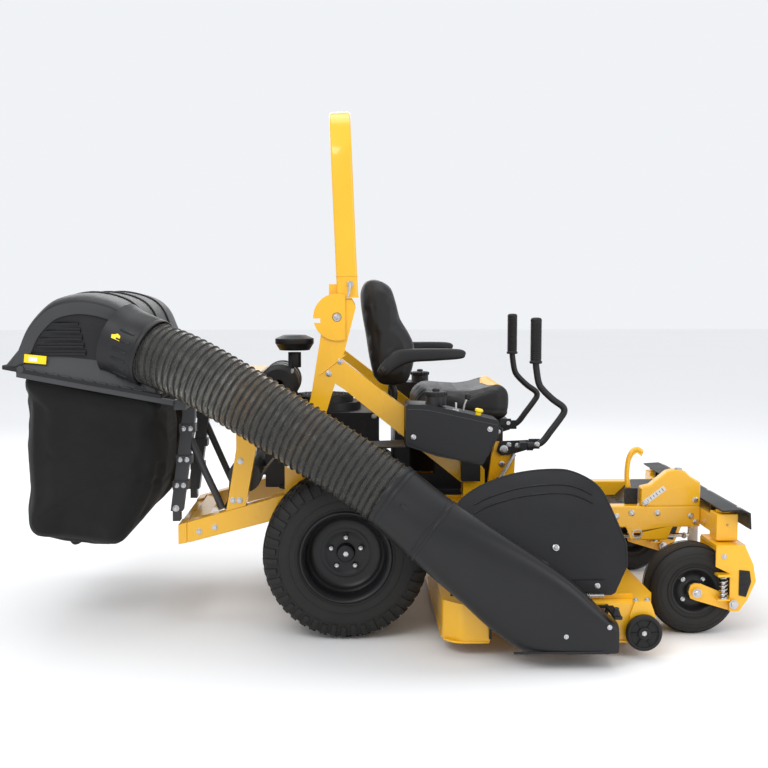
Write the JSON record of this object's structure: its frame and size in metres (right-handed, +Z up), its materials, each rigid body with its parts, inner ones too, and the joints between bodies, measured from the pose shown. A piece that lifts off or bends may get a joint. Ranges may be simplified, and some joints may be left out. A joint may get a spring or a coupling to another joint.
{
  "type": "zero turn mower",
  "caption": "Ride-on zero turn mower with roll bar, steering levers, side-discharge deck and a hose-fed rear grass bagger with hood and twin bags.",
  "frame": {"origin": "on the ground under the middle of the bounding box", "axes": "+X forward, +Y to the operator's left, +Z up"},
  "size_m": [2.728, 1.732, 1.938],
  "materials": {
    "yellow_paint": "gloss paint",
    "black_paint": "satin powder coat",
    "grey_paint": "satin powder coat",
    "black_plastic": "fine grained",
    "tyre": "matte",
    "rubber": "matte",
    "steel": "zinc plated",
    "cast": "cast",
    "vinyl": "grained vinyl",
    "fabric": "woven",
    "smoke_hose": "translucent ribbed"
  },
  "bodies": {
    "chassis": {"frame_rail_right": "yellow_paint", "frame_rail_left": "yellow_paint", "frame_cross_members": "yellow_paint", "lift_rods": "steel", "front_axle": "yellow_paint", "rear_guard": "yellow_paint", "rops_base": "yellow_paint", "floor_pan": "black_paint", "dial_housing": "yellow_paint", "front_guard": "black_plastic", "side_pod_right": "black_plastic", "side_pod_left": "black_plastic", "rear_fenders": "black_plastic", "seat_box": "black_paint", "control_towers": "yellow_paint", "engine_block": "cast", "engine_shroud": "black_plastic", "air_cleaner": "black_plastic", "muffler": "grey_paint", "transaxles": "cast", "bagger_frame": "grey_paint", "hose": "smoke_hose"},
    "deck": {"deck_shell": "yellow_paint", "belt_covers": "black_plastic", "boot": "black_plastic"},
    "deflector": {"deflector": "rubber"},
    "rops_hoop": {"rops_hoop": "yellow_paint"},
    "hood": {"hood": "black_plastic"},
    "lift_pedal": {"lift_pedal": "yellow_paint"},
    "seat": {"seat_cushion": "vinyl", "seat_back": "vinyl"},
    "drive_wheel_right": {"rear_tyre_right": "tyre", "rear_rim_right": "black_paint"},
    "caster_right": {"caster_fork_right": "yellow_paint"},
    "caster_link_right": {"caster_arm_right": "yellow_paint", "caster_spring_right": "steel"},
    "caster_wheel_right": {"caster_tyre_right": "tyre", "caster_rim_right": "black_paint"},
    "lever_base_right": {"lap_pivot_right": "black_paint"},
    "lever_right": {"lap_bar_right": "black_paint", "lap_grip_right": "rubber"},
    "armrest_right": {"armrest_right": "vinyl"},
    "anti_scalp_right": {"anti_scalp_wheel_right": "black_plastic"},
    "bag_right": {"bag_right": "fabric"},
    "drive_wheel_left": {"rear_tyre_left": "tyre", "rear_rim_left": "black_paint"},
    "caster_left": {"caster_fork_left": "yellow_paint"},
    "caster_link_left": {"caster_arm_left": "yellow_paint", "caster_spring_left": "steel"},
    "caster_wheel_left": {"caster_tyre_left": "tyre", "caster_rim_left": "black_paint"},
    "lever_base_left": {"lap_pivot_left": "black_paint"},
    "lever_left": {"lap_bar_left": "black_paint", "lap_grip_left": "rubber"},
    "armrest_left": {"armrest_left": "vinyl"},
    "anti_scalp_left": {"anti_scalp_wheel_left": "black_plastic"},
    "bag_left": {"bag_left": "fabric"},
    "blade_right": {"blade_right": "steel"},
    "blade_centre": {"blade_centre": "steel"},
    "blade_left": {"blade_left": "steel"}
  },
  "joints": [
    {"name": "rops_fold", "type": "hinge", "parent": "chassis", "child": "rops_hoop", "pos_m": [-0.166, 0.064, 1.169], "axis": [0, -1, 0], "range_deg": [0, 60]},
    {"name": "seat_tilt", "type": "hinge", "parent": "chassis", "child": "seat", "pos_m": [0.497, 0.064, 0.752], "axis": [0, 1, 0], "range_deg": [0, 50]},
    {"name": "deck_lift", "type": "slide", "parent": "chassis", "child": "deck", "axis": [0, 0, 1], "range_m": [0, 0.07], "deforming": ["hose"]},
    {"name": "lift_pedal_press", "type": "hinge", "parent": "chassis", "child": "lift_pedal", "pos_m": [0.975, -0.176, 0.47], "axis": [0, 1, 0], "range_deg": [0, 25]},
    {"name": "deflector_swing", "type": "hinge", "parent": "deck", "child": "deflector", "pos_m": [0.518, -0.675, 0.206], "axis": [1, 0, 0], "range_deg": [0, 6]},
    {"name": "hood_open", "type": "hinge", "parent": "chassis", "child": "hood", "pos_m": [-0.769, 0.064, 0.892], "axis": [0, 1, 0], "range_deg": [0, 50]},
    {"name": "drive_spin_right", "type": "hinge", "parent": "chassis", "child": "drive_wheel_right", "pos_m": [-0.135, -0.391, 0.305], "axis": [0, 1, 0], "continuous": true},
    {"name": "caster_swivel_right", "type": "hinge", "parent": "chassis", "child": "caster_right", "pos_m": [1.272, -0.406, 0.42], "axis": [0, 0, 1], "continuous": true},
    {"name": "caster_droop_right", "type": "hinge", "parent": "caster_right", "child": "caster_link_right", "pos_m": [1.28, -0.406, 0.125], "axis": [0, -1, 0], "range_deg": [0, 8], "deforming": ["caster_spring_right"]},
    {"name": "caster_spin_right", "type": "hinge", "parent": "caster_link_right", "child": "caster_wheel_right", "pos_m": [1.148, -0.406, 0.165], "axis": [0, 1, 0], "continuous": true},
    {"name": "lever_drive_right", "type": "hinge", "parent": "chassis", "child": "lever_base_right", "pos_m": [0.47, -0.226, 0.66], "axis": [0, 1, 0], "range_deg": [-10, 10]},
    {"name": "lever_out_right", "type": "hinge", "parent": "lever_base_right", "child": "lever_right", "pos_m": [0.568, -0.254, 0.674], "axis": [1, 0, 0], "range_deg": [0, 30]},
    {"name": "armrest_fold_right", "type": "hinge", "parent": "seat", "child": "armrest_right", "pos_m": [0.01, -0.211, 0.964], "axis": [0, -1, 0], "range_deg": [0, 80]},
    {"name": "anti_scalp_spin_right", "type": "hinge", "parent": "deck", "child": "anti_scalp_right", "pos_m": [0.896, -0.724, 0.088], "axis": [0, 1, 0], "continuous": true},
    {"name": "bag_slide_right", "type": "slide", "parent": "chassis", "child": "bag_right", "axis": [-0.9829, 0, 0.1843], "range_m": [0, 0.58]},
    {"name": "drive_spin_left", "type": "hinge", "parent": "chassis", "child": "drive_wheel_left", "pos_m": [-0.135, 0.519, 0.305], "axis": [0, 1, 0], "continuous": true},
    {"name": "caster_swivel_left", "type": "hinge", "parent": "chassis", "child": "caster_left", "pos_m": [1.272, 0.534, 0.42], "axis": [0, 0, 1], "continuous": true},
    {"name": "caster_droop_left", "type": "hinge", "parent": "caster_left", "child": "caster_link_left", "pos_m": [1.28, 0.534, 0.125], "axis": [0, -1, 0], "range_deg": [0, 8], "deforming": ["caster_spring_left"]},
    {"name": "caster_spin_left", "type": "hinge", "parent": "caster_link_left", "child": "caster_wheel_left", "pos_m": [1.148, 0.534, 0.165], "axis": [0, 1, 0], "continuous": true},
    {"name": "lever_drive_left", "type": "hinge", "parent": "chassis", "child": "lever_base_left", "pos_m": [0.47, 0.354, 0.66], "axis": [0, 1, 0], "range_deg": [-10, 10]},
    {"name": "lever_out_left", "type": "hinge", "parent": "lever_base_left", "child": "lever_left", "pos_m": [0.568, 0.382, 0.674], "axis": [-1, 0, 0], "range_deg": [0, 30]},
    {"name": "armrest_fold_left", "type": "hinge", "parent": "seat", "child": "armrest_left", "pos_m": [0.01, 0.339, 0.964], "axis": [0, -1, 0], "range_deg": [0, 80]},
    {"name": "anti_scalp_spin_left", "type": "hinge", "parent": "deck", "child": "anti_scalp_left", "pos_m": [0.896, 0.852, 0.088], "axis": [0, 1, 0], "continuous": true},
    {"name": "bag_slide_left", "type": "slide", "parent": "chassis", "child": "bag_left", "axis": [-0.9829, 0, 0.1843], "range_m": [0, 0.58]},
    {"name": "blade_spin_right", "type": "hinge", "parent": "deck", "child": "blade_right", "pos_m": [0.555, -0.436, 0.143], "axis": [0, 0, 1], "continuous": true},
    {"name": "blade_spin_centre", "type": "hinge", "parent": "deck", "child": "blade_centre", "pos_m": [0.675, 0.064, 0.143], "axis": [0, 0, 1], "continuous": true},
    {"name": "blade_spin_left", "type": "hinge", "parent": "deck", "child": "blade_left", "pos_m": [0.555, 0.564, 0.143], "axis": [0, 0, 1], "continuous": true}
  ],
  "couplings": [
    {"joint": "blade_spin_right", "follows": "blade_spin_centre", "ratio": 1},
    {"joint": "blade_spin_left", "follows": "blade_spin_centre", "ratio": 1},
    {"joint": "lift_pedal_press", "follows": "deck_lift", "rad_per_m": 6}
  ]
}
